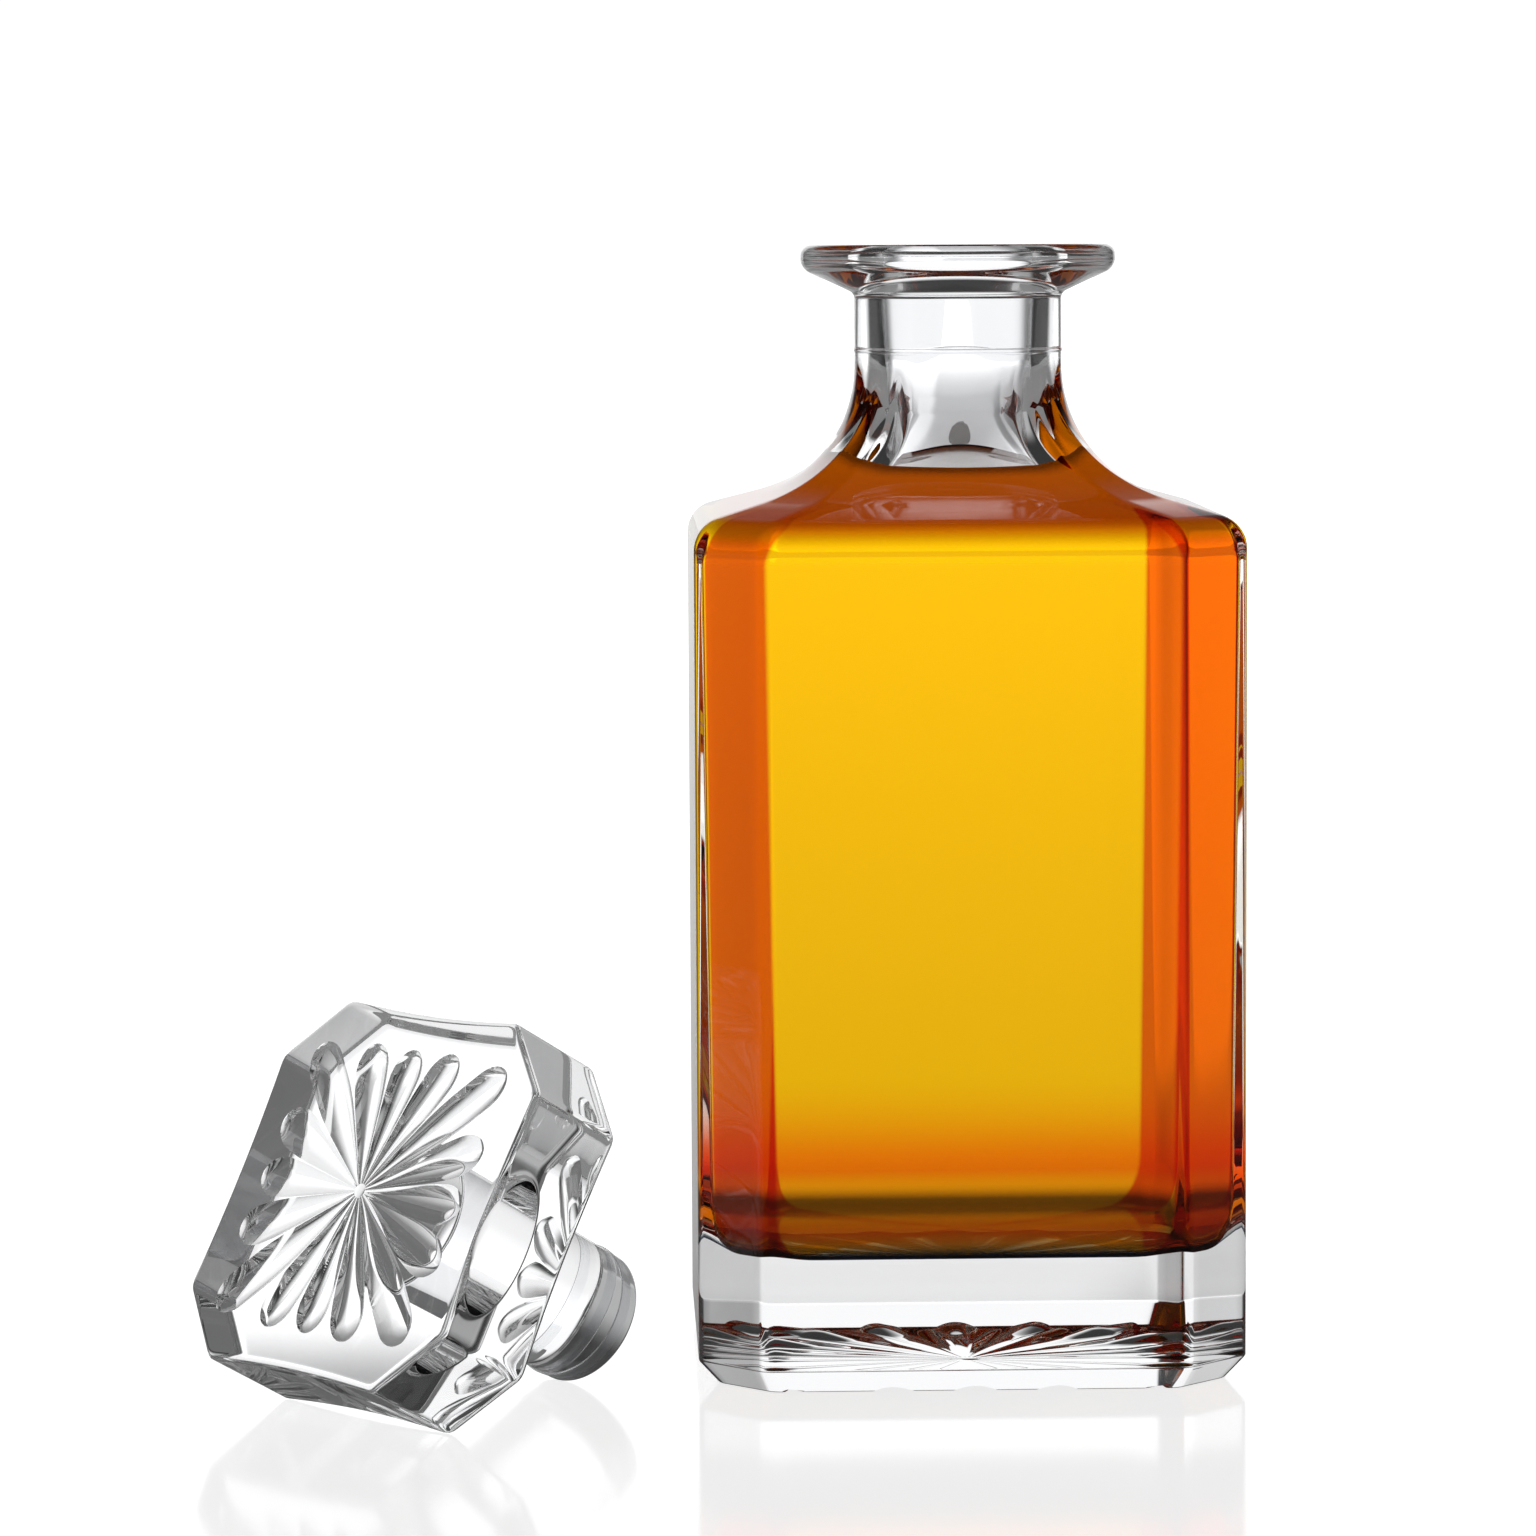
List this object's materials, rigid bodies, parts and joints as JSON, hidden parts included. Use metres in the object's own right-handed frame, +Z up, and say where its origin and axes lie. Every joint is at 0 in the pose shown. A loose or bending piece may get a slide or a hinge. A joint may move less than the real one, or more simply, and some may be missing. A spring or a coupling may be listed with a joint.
{
  "type": "cut crystal decanter",
  "caption": "Square crystal whisky decanter with cut corners, a thick star-cut base, a round neck with a wide lip, and a square star-cut stopper lying beside it.",
  "frame": {"origin": "on the table, under the middle of the box round the standing bottle and the stopper lying beside it", "axes": "+Z up, +Y towards the back; the bottle stands at +X, turned 1.6 degrees about its axis, and the stopper lies at -X with its star facing front left"},
  "size_m": [0.1719, 0.1351, 0.1861],
  "materials": {
    "crystal": "clear, fire-polished and cut",
    "clear_seal": "clear silicone"
  },
  "bodies": {
    "bottle": {"decanter_bottle": "crystal"},
    "stopper": {"stopper": "crystal", "stopper_seal_ring": "clear_seal"}
  },
  "joints": [
    {"name": "stopper_lift", "type": "slide", "parent": "bottle", "child": "stopper", "axis": [0, 0, 1], "range_m": [0, 0.19]}
  ]
}
